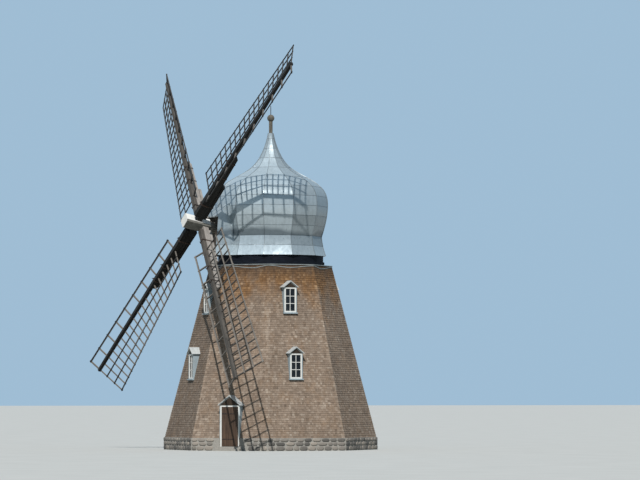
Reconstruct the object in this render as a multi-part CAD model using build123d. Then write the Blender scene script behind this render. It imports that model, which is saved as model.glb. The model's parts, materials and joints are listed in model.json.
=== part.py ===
from build123d import *
import math
import os

# Traditional smock windmill: an eight-sided battered tower, a faceted onion cap that turns on a round
# curb, and four lattice sails on an inclined windshaft. Millimetres, +Z up, origin on the tower axis at
# ground level. The windshaft points towards -Y, and azimuths turn from -Y towards +X.

# Tower
SIDES = 8
SECTOR = 360 / SIDES
TOWER_TURN = -5.0
BASE_APOTHEM = 4890.0
BATTER = 0.242
WALL_THICK = 200.0
WALL_TOP = 8890.0
PLINTH_HEIGHT = 600.0
PLINTH_PROUD = 60.0
PLINTH_THICK = 450.0
WINDOW_SIDES = (0, 2, 4, 6)
DOOR_SIDES = (1, 5)
STEP_WIDTH = 1400.0
STEP_DEPTH = 420.0
STEP_HEIGHT = 100.0

# Floors
GROUND_FLOOR_THICK = 200.0
FLOOR_THICK = 80.0
FLOOR_TOPS = (2650.0, 5900.0)

# Windows and doors stand upright in the sloping wall
WINDOW_WIDTH = 600.0
WINDOW_HEIGHT = 1200.0
WINDOW_SILLS = (3420.0, 6590.0)
WINDOW_SHIFTS = (0.0, -280.0, 0.0, 0.0)
DOOR_WIDTH = 1000.0
DOOR_HEIGHT = 1950.0
DOOR_BASE = GROUND_FLOOR_THICK
DOOR_SIZE = (DOOR_WIDTH, DOOR_BASE, DOOR_HEIGHT)
DOOR_SETBACK = 150.0
FRAME_BAR = 70.0
FRAME_DEPTH = 90.0
FRAME_PROUD = 60.0
GLASS_THICK = 12.0
CHEEK_THICK = 30.0
SILL_THICK = 60.0
SILL_PROUD = 70.0
HOOD_EAVE = 90.0
HOOD_PITCH = 38.0
HOOD_SHEET = 35.0
PEDIMENT_PROUD = 12.0
TRIM_MARGIN = 1.0
DOOR_LEAF_THICK = 50.0

# Top of the tower
TOP_PLATE_THICK = 40.0
TOP_PLATE_PROUD = 45.0
TOP_PLATE_WIDTH = 480.0
CURB_OUTER = 2620.0
CURB_INNER = 2300.0
CURB_HEIGHT = 160.0
CURB_GAP = 0.3

# Cap: twelve gores, each bent in one direction only
GORES = 12
GORE_ANGLE = 360 / GORES
GORE_TURN = -3.0
SHELL_THICK = 45.0
RING_OUTER = 2560.0
RING_INNER = 2330.0
RING_HEIGHT = 300.0
RIM_RADIUS = 2700.0
WAIST_RADIUS = 2490.0
WAIST_RISE = 940.0
SKIRT_SAG = 35.0
BELLY_RADIUS = 2790.0
BELLY_RISE = 2420.0
SHOULDER_RADIUS = 2670.0
SHOULDER_RISE = 3090.0
SLOPE_RADIUS = 1930.0
SLOPE_RISE = 3760.0
NECK_RADIUS = 830.0
NECK_RISE = 4460.0
SPIRE_RADIUS = 390.0
SPIRE_RISE = 5150.0
TIP_RADIUS = 125.0
TIP_RISE = 6030.0

# Finial
POST_RADIUS = 90.0
POST_HEIGHT = 560.0
POST_SOCKET = 44.0
BALL_RADIUS = 175.0
ROD_RADIUS = 18.0
ROD_HEIGHT = 600.0

# Windshaft: the sails' centre stands in front of the tower axis and above the foot of the cap
HUB_FORWARD = 3810.0
HUB_RISE = 1495.0
SHAFT_TILT = 12.0
SHAFT_RADIUS = 260.0
JOURNAL_RADIUS = 200.0
SHAFT_TAIL = 5650.0
NECK_LENGTH = 3600.0
BEARING_GAP = 0.3

# Hood over the windshaft, and the beams that carry it
HOOD_HALF_WIDTH = 750.0
HOOD_WALL = 40.0
HOOD_FRONT = 3050.0
HOOD_TOE = 3330.0
HOOD_BROW = 3160.0
HOOD_LIP = 3195.0
HOOD_CLEARANCE = 530.0
HOOD_SLOPE = 47.0
HOOD_BACK = 1900.0
SHEER_WIDTH = 200.0
SHEER_HEIGHT = 230.0
SHEER_BACK = 2200.0
BREAST_THICK = 260.0
TAIL_BEAM_THICK = 250.0
TAIL_BEAM_PLACE = 1600.0
SHAFT_HOLE_GAP = 25.0

# Sails
SAIL_TURN = 47.0
BACK_STOCK_SKEW = -1.0
SAIL_NAMES = ("upper_right", "lower_right", "lower_left", "upper_left")
SAIL_RADIUS = 10640.0
STOCK_SPACING = 414.0
STOCK_SIZE = 290.0
STOCK_END_SIZE = 200.0
STOCK_LENGTH = 4550.0
STOCK_CHAMFER = 130.0
STOCK_TOE = 70.0
WHIP_START = 480.0
WHIP_DEPTH = 180.0
WHIP_WIDTH = 240.0
WHIP_END_DEPTH = 140.0
WHIP_END_WIDTH = 150.0
CLAMP_START = 460.0
CLAMP_LENGTH = 2600.0
CLAMP_DEPTH = 130.0
POLL_SIZE = 560.0
POLL_FRONT = 850.0
POLL_BACK = 450.0
POLL_CHAMFER = 70.0
HUB_STRAP_PLACE = 1250.0
STRAP_WIDTH = 60.0
STRAP_THICK = 14.0

# Lattice: every second bar goes right through its whip. The wide and the leading side have their own
# weather, and years of wind have warped each sail's tip differently, in the order of the names above.
BAR_COUNT = 10
BAR_START = 1917.0
BAR_PITCH = 961.0
BAR_DEPTH = 40.0
BAR_WIDTH = 56.0
LEADING_BAR_DEPTH = 60.0
LEADING_BAR_WIDTH = 62.0
BAR_END = 60.0
WIDE_SIDE = 1540.0
LEADING_SIDE = 610.0
WIDE_LATHS = 3
LATH_WIDTH = 64.0
LATH_DEPTH = 36.0
LEADING_LATH_WIDTH = 80.0
LEADING_LATH_DEPTH = 42.0
STRAPPED_BARS = (2, 4)
HEEL_WEATHER = 3.0
TIP_WEATHER = (15.0, 30.0, 44.0, 18.0)
LEADING_HEEL_WEATHER = (24.0, 30.0, 30.0, 16.0)
LEADING_TIP_WEATHER = (8.0, 0.0, 44.0, 28.0)

# Heights that follow from the values above
APOTHEM_TO_CORNER = 1 / math.cos(math.radians(SECTOR / 2))
GORE_APOTHEM = math.cos(math.radians(GORE_ANGLE / 2))
PLATE_TOP = WALL_TOP + TOP_PLATE_THICK
CURB_TOP = PLATE_TOP + CURB_HEIGHT
RING_BASE = CURB_TOP + CURB_GAP
CAP_BASE = RING_BASE + RING_HEIGHT
HUB_HEIGHT = CAP_BASE + HUB_RISE
FAR = 3 * BASE_APOTHEM
LOW = (Align.CENTER, Align.CENTER, Align.MIN)
BAR_END_PLACE = BAR_START + (BAR_COUNT - 1) * BAR_PITCH
STRAP_PLACES = [HUB_STRAP_PLACE] + [BAR_START + (bar + 0.5) * BAR_PITCH / 2 for bar in STRAPPED_BARS]


def save(pieces, name):
    """Write one node: a solid, or like solids that stand apart."""
    solids = [solid for piece in pieces for solid in piece.solids()]
    shape = solids[0] if len(solids) == 1 else Compound(children=solids)
    export_step(shape, f"parts/{name}.step")


def apothem(height):
    """Distance from the axis to the middle of a wall's outer face."""
    return BASE_APOTHEM - BATTER * height


def sector(angle, bottom, top):
    """A wedge about the -Y direction, for cutting one side out of a ring."""
    half = FAR * math.tan(math.radians(angle / 2))
    outline = Polyline((0, 0), (-half, -FAR), (half, -FAR), close=True)
    return Pos(0, 0, bottom) * extrude(make_face(outline), top - bottom)


def side_prism(points, half_width):
    """Extrude an outline of (distance in front of the axis, height) points across the -Y side."""
    outline = Polyline(*[(-forward, height) for forward, height in points], close=True)
    return extrude(Plane.YZ * make_face(outline), half_width, both=True)


def turned(piece, side, shift=0.0):
    """Turn a piece made for the -Y side onto one of the tower's sides, a little along the wall."""
    return Rot(0, 0, TOWER_TURN + side * SECTOR) * Pos(shift, 0, 0) * piece


def box_between(low, high):
    """A box from its low corner to its high corner."""
    size = [b - a for a, b in zip(low, high)]
    middle = [(a + b) / 2 for a, b in zip(low, high)]
    return Pos(*middle) * Box(*size)


# Tower sides and floors

def wall_side():
    """One battered side, from the plinth to the top plate, mitred at both corners."""
    low, high = PLINTH_HEIGHT, WALL_TOP
    outline = [
        (apothem(low), low),
        (apothem(high), high),
        (apothem(high) - WALL_THICK, high),
        (apothem(low) - WALL_THICK, low),
    ]
    return side_prism(outline, BASE_APOTHEM) & sector(SECTOR, low, high)


def plinth_side():
    """One side of the stone plinth."""
    outer = apothem(PLINTH_HEIGHT) + PLINTH_PROUD
    inner = outer - PLINTH_THICK
    outline = [(outer, 0), (outer, PLINTH_HEIGHT), (inner, PLINTH_HEIGHT), (inner, 0)]
    return side_prism(outline, BASE_APOTHEM) & sector(SECTOR, 0, PLINTH_HEIGHT)


def opening_cut(width, base, height):
    """The hole that an upright window or door needs through the wall and the plinth."""
    return box_between((-width / 2, -FAR, base), (width / 2, -apothem(WALL_TOP), base + height))


def floor_slab(top):
    """A boarded floor that fits between the battered walls."""
    slabs = []
    for side in range(SIDES):
        low = top - FLOOR_THICK
        outline = [(0, low), (apothem(low) - WALL_THICK, low), (apothem(top) - WALL_THICK, top), (0, top)]
        slabs.append(turned(side_prism(outline, BASE_APOTHEM) & sector(SECTOR, low, top), side))
    return slabs[0].fuse(*slabs[1:]).clean()


def door_step():
    """A stone slab on the ground in front of a doorway."""
    face = apothem(PLINTH_HEIGHT) + PLINTH_PROUD
    return box_between((-STEP_WIDTH / 2, -face - STEP_DEPTH, 0), (STEP_WIDTH / 2, -face, STEP_HEIGHT))


def ground_floor():
    """The slab inside the plinth. Its underside is the ground plane."""
    inner = apothem(PLINTH_HEIGHT) + PLINTH_PROUD - PLINTH_THICK
    outline = RegularPolygon(inner * APOTHEM_TO_CORNER, SIDES, rotation=SECTOR / 2)
    slab = extrude(outline, GROUND_FLOOR_THICK)
    return Rot(0, 0, TOWER_TURN) * slab


# Windows and doors, each made for the -Y side

def frame_face(base):
    """Distance from the axis to the front of an upright frame; a door's stands back in the plinth."""
    setback = DOOR_SETBACK if base == DOOR_BASE else 0
    return apothem(base) + FRAME_PROUD - setback


def frame(width, base, height, with_foot):
    """A frame round an opening; a door's has no bar underfoot."""
    face = frame_face(base)
    outer = box_between((-width / 2, -face, base), (width / 2, -face + FRAME_DEPTH, base + height))
    foot = FRAME_BAR if with_foot else 0
    light = box_between(
        (-width / 2 + FRAME_BAR, -FAR, base + foot),
        (width / 2 - FRAME_BAR, 0, base + height - FRAME_BAR),
    )
    return outer - light


def pane(width, base, height, thick, foot):
    """What closes a frame: glass or a door leaf, in the middle of the frame's depth."""
    middle = -frame_face(base) + FRAME_DEPTH / 2
    return box_between(
        (-width / 2 + FRAME_BAR, middle - thick / 2, base + foot),
        (width / 2 - FRAME_BAR, middle + thick / 2, base + height - FRAME_BAR),
    )


def cheeks(width, base, height):
    """The two three-cornered sides between an upright frame and the wall that leans away from it."""
    face = frame_face(base)
    top = base + height
    low = max(base, PLINTH_HEIGHT)
    outline = [(face, low), (face, top), (apothem(top), top), (apothem(low), low)]
    cheek = side_prism(outline, CHEEK_THICK / 2)
    place = width / 2 + CHEEK_THICK / 2
    return [Pos(-place, 0, 0) * cheek, Pos(place, 0, 0) * cheek]


def sill(width, base):
    """The board under a window's frame."""
    half = width / 2 + CHEEK_THICK + SILL_PROUD / 2
    front = frame_face(base) + SILL_PROUD
    low = base - SILL_THICK
    outline = [(front, low), (front, base), (apothem(base), base), (apothem(low), low)]
    return side_prism(outline, half)


def roof_profile(half, low, rise, inset):
    """The three-cornered end of a small roof, drawn in by an equal amount on both slopes."""
    drop = inset / math.cos(math.radians(HOOD_PITCH))
    return make_face(Polyline((-half, low - drop), (half, low - drop), (0, low + rise - drop), close=True))


def gable(width, base, height):
    """A small pitched roof over a frame, run back into the wall, over a gable board that stands back."""
    half = width / 2 + CHEEK_THICK + HOOD_EAVE
    low = base + height
    rise = half * math.tan(math.radians(HOOD_PITCH))
    front = frame_face(base) + HOOD_EAVE
    board = frame_face(base) + PEDIMENT_PROUD
    roof = extrude(Plane.XZ * roof_profile(half, low, rise, 0), front)
    under = extrude(Plane.XZ * roof_profile(half, low, rise, HOOD_SHEET), front)
    hollow = under & box_between((-half, -front, low), (half, -board, low + rise))
    behind = [
        (0, low - TRIM_MARGIN),
        (apothem(low - TRIM_MARGIN), low - TRIM_MARGIN),
        (apothem(WALL_TOP), WALL_TOP),
        (0, WALL_TOP),
    ]
    return roof - hollow - side_prism(behind, FAR)


def window_places():
    """Each window's side of the tower, its shift along the wall, and the height of its sill."""
    return [(side, shift, base) for side, shift in zip(WINDOW_SIDES, WINDOW_SHIFTS) for base in WINDOW_SILLS]


def build_tower():
    walls = {}
    plinths = {}
    places = window_places()
    for side in range(SIDES):
        wall, plinth = wall_side(), plinth_side()
        for shift, base in [(shift, base) for place, shift, base in places if place == side]:
            wall = wall - Pos(shift, 0, 0) * opening_cut(WINDOW_WIDTH, base, WINDOW_HEIGHT)
        if side in DOOR_SIDES:
            doorway = opening_cut(*DOOR_SIZE)
            wall, plinth = wall - doorway, plinth - doorway
        walls[side] = turned(wall, side)
        plinths[side] = turned(plinth, side)
    other_sides = [side for side in range(SIDES) if side not in WINDOW_SIDES]
    save([walls[side] for side in WINDOW_SIDES], "window_walls")
    save([walls[side] for side in other_sides], "door_and_plain_walls")
    save([plinths[side] for side in WINDOW_SIDES], "plinth_under_windows")
    steps = [turned(door_step(), side) for side in DOOR_SIDES]
    save([plinths[side] for side in other_sides] + steps, "plinth_beside_windows")
    save([ground_floor()], "ground_floor")
    save([floor_slab(FLOOR_TOPS[0])], "first_floor")
    save([floor_slab(FLOOR_TOPS[1])], "second_floor")


def build_windows():
    width, height = WINDOW_WIDTH, WINDOW_HEIGHT
    places = window_places()
    frames = [turned(frame(width, base, height, True), side, shift) for side, shift, base in places]
    frames += [turned(frame(*DOOR_SIZE, False), side) for side in DOOR_SIDES]
    save(frames, "window_and_door_frames")
    panes = [pane(width, base, height, GLASS_THICK, FRAME_BAR) for side, shift, base in places]
    save([turned(glass, side, shift) for glass, (side, shift, base) in zip(panes, places)], "window_glass")
    save([turned(sill(width, base), side, shift) for side, shift, base in places], "window_sills")
    hoods = [turned(gable(width, base, height), side, shift) for side, shift, base in places]
    hoods += [turned(gable(*DOOR_SIZE), side) for side in DOOR_SIDES]
    save(hoods, "window_and_door_hoods")


def build_doors():
    save([turned(pane(*DOOR_SIZE, DOOR_LEAF_THICK, 0), side) for side in DOOR_SIDES], "door_leaves")
    sides = [turned(piece, side) for side in DOOR_SIDES for piece in cheeks(*DOOR_SIZE)]
    for side, shift, base in window_places():
        sides += [turned(piece, side, shift) for piece in cheeks(WINDOW_WIDTH, base, WINDOW_HEIGHT)]
    save(sides, "window_and_door_cheeks")


def build_curb():
    """The eight-sided top plate and the round curb that the cap turns on."""
    corner = (apothem(WALL_TOP) + TOP_PLATE_PROUD) * APOTHEM_TO_CORNER
    inner = corner - TOP_PLATE_WIDTH * APOTHEM_TO_CORNER
    turn = Rot(0, 0, TOWER_TURN + SECTOR / 2)
    plate = extrude(RegularPolygon(corner, SIDES) - RegularPolygon(inner, SIDES), TOP_PLATE_THICK)
    save([turn * Pos(0, 0, WALL_TOP) * plate], "top_plate")
    curb = extrude(Circle(CURB_OUTER) - Circle(CURB_INNER), CURB_HEIGHT)
    save([Pos(0, 0, PLATE_TOP) * curb], "curb")


# Cap

def gore_outline(inset):
    """The cap's profile: a flared skirt up to the crease at the waist, then one smooth line to the tip."""
    def point(radius, rise):
        return (-(radius * GORE_APOTHEM - inset), CAP_BASE + rise)

    middle = ((RIM_RADIUS + WAIST_RADIUS) / 2 - SKIRT_SAG, WAIST_RISE / 2)
    skirt = ThreePointArc(point(RIM_RADIUS, 0), point(*middle), point(WAIST_RADIUS, WAIST_RISE))
    body = Spline(
        point(WAIST_RADIUS, WAIST_RISE),
        point(BELLY_RADIUS, BELLY_RISE),
        point(SHOULDER_RADIUS, SHOULDER_RISE),
        point(SLOPE_RADIUS, SLOPE_RISE),
        point(NECK_RADIUS, NECK_RISE),
        point(SPIRE_RADIUS, SPIRE_RISE),
        point(TIP_RADIUS, TIP_RISE),
    )
    return [skirt, body]


def gore_solid():
    """One gore from rim to tip, as a bent sheet on its boarding, cut by its two ridges."""
    outer = gore_outline(0)
    inner = gore_outline(SHELL_THICK)
    ends = [Line(outer[0] @ 0, inner[0] @ 0), Line(outer[-1] @ 1, inner[-1] @ 1)]
    sheet = extrude(Plane.YZ * make_face(outer + inner + ends), RIM_RADIUS, both=True)
    return sheet & sector(GORE_ANGLE, CAP_BASE, CAP_BASE + TIP_RISE)


def gore_core(inset):
    """One gore's wedge of the cap, filled in to the axis."""
    outline = gore_outline(inset)
    closing = [
        Line(outline[0] @ 0, (0, CAP_BASE)),
        Line((0, CAP_BASE), (0, CAP_BASE + TIP_RISE)),
        Line((0, CAP_BASE + TIP_RISE), outline[-1] @ 1),
    ]
    return extrude(Plane.YZ * make_face(outline + closing), RIM_RADIUS, both=True)


def lip_height():
    """Height of the hood's front edge, which clears the windshaft."""
    return shaft_height(HOOD_LIP) + HOOD_CLEARANCE


def hood_roof_height(forward):
    """Height of the hood roof's top at a distance in front of the axis."""
    return lip_height() + (HOOD_LIP - forward) * math.tan(math.radians(HOOD_SLOPE))


def hood_block():
    """The space that the hood takes out of the gores."""
    top = hood_roof_height(HOOD_BACK)
    outline = [(HOOD_BACK, CAP_BASE), (HOOD_LIP, CAP_BASE), (HOOD_LIP, lip_height()), (HOOD_BACK, top)]
    return side_prism(outline, HOOD_HALF_WIDTH)


def build_gores():
    gore = gore_solid()
    hood = hood_block()
    tiers = {
        "skirt": (0, WAIST_RISE),
        "belly": (WAIST_RISE, SHOULDER_RISE),
        "crown": (SHOULDER_RISE, NECK_RISE),
    }
    for name, (low, high) in tiers.items():
        band = gore & box_between((-FAR, -FAR, CAP_BASE + low), (FAR, 0, CAP_BASE + high))
        sets = ([], [])
        for number in range(GORES):
            angle = GORE_TURN + (number + 0.5) * GORE_ANGLE
            sets[number % 2].append(Rot(0, 0, angle) * band - hood)
        save(sets[0], f"cap_{name}_first")
        save(sets[1], f"cap_{name}_second")
    tip = gore_core(0) & sector(GORE_ANGLE, CAP_BASE + NECK_RISE, CAP_BASE + TIP_RISE)
    tips = [Rot(0, 0, GORE_TURN + (number + 0.5) * GORE_ANGLE) * tip for number in range(GORES)]
    save([tips[0].fuse(*tips[1:]).clean()], "cap_spire")


def build_cap_base():
    ring = extrude(Circle(RING_OUTER) - Circle(RING_INNER), RING_HEIGHT)
    save([Pos(0, 0, RING_BASE) * ring], "cap_ring")


def build_finial():
    base = CAP_BASE + TIP_RISE
    ball = Pos(0, 0, base + POST_HEIGHT + BALL_RADIUS) * Sphere(BALL_RADIUS)
    rod = Pos(0, 0, base + POST_HEIGHT + BALL_RADIUS) * Cylinder(ROD_RADIUS, ROD_HEIGHT, align=LOW)
    post = Pos(0, 0, base) * Cylinder(POST_RADIUS, POST_HEIGHT + POST_SOCKET, align=LOW)
    save([post - ball], "finial_post")
    save([ball], "finial_ball")
    save([rod - ball], "finial_rod")


def shaft_plane():
    """Origin at the sails' centre, z along the windshaft to the front, x towards +X."""
    tilt = math.radians(SHAFT_TILT)
    front = (0, -math.cos(tilt), math.sin(tilt))
    return Plane(origin=(0, -HUB_FORWARD, HUB_HEIGHT), x_dir=(1, 0, 0), z_dir=front)


def shaft_height(forward):
    """Height of the windshaft's axis at a distance in front of the tower axis."""
    return HUB_HEIGHT - (HUB_FORWARD - forward) * math.tan(math.radians(SHAFT_TILT))


def shaft_bore(radius):
    """A long cylinder on the windshaft's axis, for cutting seats and holes."""
    return shaft_plane() * Cylinder(radius, 2 * FAR)


def build_hood():
    inside = HOOD_HALF_WIDTH - HOOD_WALL
    base = CAP_BASE
    back = HOOD_BACK
    drop = HOOD_WALL / math.cos(math.radians(HOOD_SLOPE))
    outline = [
        (back, base),
        (HOOD_TOE, base),
        (HOOD_BROW, hood_roof_height(HOOD_BROW) - drop),
        (back, hood_roof_height(back) - drop),
    ]
    wall = side_prism(outline, HOOD_WALL / 2)
    place = HOOD_HALF_WIDTH - HOOD_WALL / 2
    shell_space = front_core()
    walls = [(Pos(x, 0, 0) * wall) - shell_space for x in (-place, place)]
    save(walls, "hood_walls")
    roof_outline = [
        (back, hood_roof_height(back) - drop),
        (HOOD_LIP, hood_roof_height(HOOD_LIP) - drop),
        (HOOD_LIP, hood_roof_height(HOOD_LIP)),
        (back, hood_roof_height(back)),
    ]
    roof = side_prism(roof_outline, HOOD_HALF_WIDTH) - shell_space
    save([roof - shaft_bore(SHAFT_RADIUS + SHAFT_HOLE_GAP)], "hood_roof")
    middle = shaft_height(HOOD_FRONT - BREAST_THICK / 2)
    breast = box_between(
        (-inside, -HOOD_FRONT, base + SHEER_HEIGHT), (inside, -HOOD_FRONT + BREAST_THICK, middle)
    )
    save([breast - shaft_bore(SHAFT_RADIUS + BEARING_GAP)], "breast_beam")
    upper = [
        (HOOD_FRONT - HOOD_WALL, middle),
        (HOOD_FRONT, middle),
        (HOOD_FRONT, hood_roof_height(HOOD_FRONT) - drop),
        (HOOD_FRONT - HOOD_WALL, hood_roof_height(HOOD_FRONT - HOOD_WALL) - drop),
    ]
    save([side_prism(upper, inside) - shaft_bore(SHAFT_RADIUS + SHAFT_HOLE_GAP)], "hood_front")


def front_core():
    """Everything inside the front gores' inner faces, where the hood's sheets stop."""
    piece = gore_core(SHELL_THICK) & sector(GORE_ANGLE, CAP_BASE, CAP_BASE + TIP_RISE)
    pieces = [Rot(0, 0, GORE_TURN + (number + 0.5) * GORE_ANGLE) * piece for number in (-2, -1, 0, 1)]
    return pieces[0].fuse(*pieces[1:])


def build_cap_beams():
    inside = HOOD_HALF_WIDTH - HOOD_WALL
    base = CAP_BASE
    sheers = []
    for x in (-inside, inside - SHEER_WIDTH):
        sheers.append(box_between((x, -HOOD_FRONT, base), (x + SHEER_WIDTH, SHEER_BACK, base + SHEER_HEIGHT)))
    save(sheers, "sheer_beams")
    middle = shaft_height(-TAIL_BEAM_PLACE)
    reach = inside - SHEER_WIDTH
    tail = box_between(
        (-reach, TAIL_BEAM_PLACE - TAIL_BEAM_THICK / 2, base),
        (reach, TAIL_BEAM_PLACE + TAIL_BEAM_THICK / 2, middle),
    )
    save([tail - shaft_bore(JOURNAL_RADIUS + BEARING_GAP)], "tail_beam")


# Sails, made once along +X of a plane whose y is the trailing side and z the front

def arm_plane(number):
    """The plane of one sail: x outwards along its stock, y to the trailing side, z to the front."""
    base = shaft_plane()
    at_front = number % 2 == 0
    angle = math.radians(SAIL_TURN + number * 90 + (0 if at_front else BACK_STOCK_SKEW))
    level = STOCK_SPACING / 2 if at_front else -STOCK_SPACING / 2
    out = base.x_dir * math.sin(angle) + base.y_dir * math.cos(angle)
    return Plane(origin=base.origin + base.z_dir * level, x_dir=out, z_dir=base.z_dir)


def taper(start, end, start_size, end_size, back):
    """A timber along x that narrows from one (width, depth) to another; its back stays flat."""
    sections = []
    for place, (width, depth) in ((start, start_size), (end, end_size)):
        plane = Plane(origin=(place, 0, back + depth / 2), x_dir=(0, 1, 0), z_dir=(1, 0, 0))
        sections.append(plane * Rectangle(width, depth))
    return loft(sections, ruled=True)


def bar_middle():
    """Height of the bars' middle line above the stock's middle."""
    return STOCK_SIZE / 2 + WHIP_END_DEPTH / 2


def bar_direction(sail, place, side):
    """The way a bar points across a sail's whip; side is 1 for the wide side and -1 for the leading one."""
    weathers = (HEEL_WEATHER, TIP_WEATHER[sail])
    if side < 0:
        weathers = (LEADING_HEEL_WEATHER[sail], LEADING_TIP_WEATHER[sail])
    share = (place - BAR_START) / (BAR_END_PLACE - BAR_START)
    ends = []
    for weather in weathers:
        angle = math.radians(weather)
        ends.append(Vector(0, math.cos(angle), -math.sin(angle)))
    return (ends[0] * (1 - share) + ends[1] * share) * side


def lattice_point(sail, place, side, across):
    """A point of the twisted sail surface. Lines along the sail are straight, and so are its bars."""
    return Vector(place, 0, bar_middle()) + bar_direction(sail, place, side) * across


def strut(first, last, width, depth, across):
    """A straight bar between two points, its width along the given way."""
    direction = last - first
    plane = Plane(origin=first, x_dir=across, z_dir=direction)
    return extrude(plane * Rectangle(width, depth), direction.length)


def bar(sail, place, side):
    """One bar on one side of the whip, from inside the whip to a little past the last lath."""
    reach, width, depth = (WIDE_SIDE, BAR_WIDTH, BAR_DEPTH)
    if side < 0:
        reach, width, depth = (LEADING_SIDE, LEADING_BAR_WIDTH, LEADING_BAR_DEPTH)
    first = lattice_point(sail, place, side, -BAR_DEPTH)
    last = lattice_point(sail, place, side, reach + BAR_END)
    return strut(first, last, width, depth, Vector(1, 0, 0))


def lath(sail, side, across, width, depth):
    """One straight lath let into the bars, from heel to tip."""
    first = lattice_point(sail, BAR_START - BAR_END, side, across)
    last = lattice_point(sail, BAR_END_PLACE + BAR_END, side, across)
    middle = bar_direction(sail, (BAR_START + BAR_END_PLACE) / 2, side)
    along = last - first
    return strut(first, last, width, depth, middle - along * (middle.dot(along) / along.dot(along)))


def lattice(sail):
    """The bars and laths of one sail, fused where they cross."""
    pieces = []
    for number in range(BAR_COUNT):
        place = BAR_START + number * BAR_PITCH
        pieces.append(bar(sail, place, 1))
        pieces.append(bar(sail, place, -1))
        if number < BAR_COUNT - 1:
            pieces.append(bar(sail, place + BAR_PITCH / 2, 1))
    for number in range(WIDE_LATHS):
        across = WIDE_SIDE * (number + 1) / WIDE_LATHS
        pieces.append(lath(sail, 1, across, LATH_WIDTH, LATH_DEPTH))
    pieces.append(lath(sail, -1, LEADING_SIDE, LEADING_LATH_WIDTH, LEADING_LATH_DEPTH))
    return pieces[0].fuse(*pieces[1:])


def stock():
    """Half of a stock: square through the poll end, tapered and cut to a slope at its end."""
    half = POLL_SIZE / 2
    middle = Pos(half / 2, 0, 0) * Box(half, STOCK_SIZE, STOCK_SIZE)
    sections = []
    for place, size in ((half, STOCK_SIZE), (STOCK_LENGTH, STOCK_END_SIZE)):
        plane = Plane(origin=(place, 0, STOCK_SIZE / 2 - size / 2), x_dir=(0, 1, 0), z_dir=(1, 0, 0))
        sections.append(plane * Rectangle(size, size))
    arm = middle + loft(sections, ruled=True)
    front = STOCK_SIZE / 2
    back = front - STOCK_END_SIZE
    corner = Polyline(
        (STOCK_LENGTH, back - STOCK_CHAMFER),
        (STOCK_LENGTH + STOCK_CHAMFER, back - STOCK_CHAMFER),
        (STOCK_LENGTH + STOCK_CHAMFER, front - STOCK_TOE),
        (STOCK_LENGTH, front - STOCK_TOE),
        (STOCK_LENGTH - STOCK_CHAMFER * 2, back - STOCK_CHAMFER),
        close=True,
    )
    cut = extrude(Plane.XZ * make_face(corner), STOCK_SIZE, both=True)
    return arm - cut


def build_sails():
    shaft = shaft_plane()
    whip = taper(
        WHIP_START,
        SAIL_RADIUS,
        (WHIP_WIDTH, WHIP_DEPTH),
        (WHIP_END_WIDTH, WHIP_END_DEPTH),
        STOCK_SIZE / 2,
    )
    arm = stock()
    clamp = taper(
        CLAMP_START,
        CLAMP_LENGTH,
        (STOCK_SIZE, CLAMP_DEPTH),
        (STOCK_END_SIZE, CLAMP_DEPTH),
        -STOCK_SIZE / 2 - CLAMP_DEPTH,
    )
    clamp = clamp - arm
    straps = strap_set(arm, whip, clamp)
    planes = [arm_plane(number) for number in range(len(SAIL_NAMES))]
    grids = [lattice(number) for number in range(len(SAIL_NAMES))]
    for number, name in enumerate(SAIL_NAMES):
        save([planes[number] * grids[number]], f"lattice_{name}")
    for first, level in ((0, "front"), (1, "back")):
        pair = (first, first + 2)
        save([(planes[first] * arm + planes[first + 2] * arm).clean()], f"stock_{level}")
        save([planes[number] * (whip - grids[number]) for number in pair], f"whips_{level}")
        save([planes[number] * clamp for number in pair], f"stock_clamps_{level}")
    save([plane * strap for plane in planes for strap in straps], "stock_straps")
    poll = Pos(0, 0, (POLL_FRONT - POLL_BACK) / 2) * Box(POLL_SIZE, POLL_SIZE, POLL_FRONT + POLL_BACK)
    poll = chamfer(poll.edges().filter_by(Axis.Z), POLL_CHAMFER)
    poll = shaft * Rot(0, 0, SAIL_TURN) * poll
    for number in (0, 1):
        poll = poll - planes[number] * Box(2 * FAR, STOCK_SIZE, STOCK_SIZE)
    save([poll], "poll_end")
    body = Pos(0, 0, -POLL_BACK - NECK_LENGTH / 2) * Cylinder(SHAFT_RADIUS, NECK_LENGTH)
    rest = SHAFT_TAIL - NECK_LENGTH
    journal = Pos(0, 0, -POLL_BACK - NECK_LENGTH - rest / 2) * Cylinder(JOURNAL_RADIUS, rest)
    save([shaft * (body + journal)], "windshaft")


def strap_set(arm, whip, clamp):
    """Iron bands that hold the whip, the stock and its clamp together."""
    timbers = arm + whip + clamp
    straps = []
    for place in STRAP_PLACES:
        slice_box = Pos(place, 0, 0) * Box(STRAP_WIDTH, FAR, FAR)
        held = (timbers & slice_box).bounding_box()
        low = (place - STRAP_WIDTH / 2, held.min.Y - STRAP_THICK, held.min.Z - STRAP_THICK)
        high = (place + STRAP_WIDTH / 2, held.max.Y + STRAP_THICK, held.max.Z + STRAP_THICK)
        straps.append(box_between(low, high) - timbers)
    return straps


def main():
    os.makedirs("parts", exist_ok=True)
    build_tower()
    build_windows()
    build_doors()
    build_curb()
    build_cap_base()
    build_gores()
    build_hood()
    build_cap_beams()
    build_finial()
    build_sails()


main()
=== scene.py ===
import bpy
import json
import math
import random
from mathutils import Matrix, Vector
from mathutils.bvhtree import BVHTree

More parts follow.
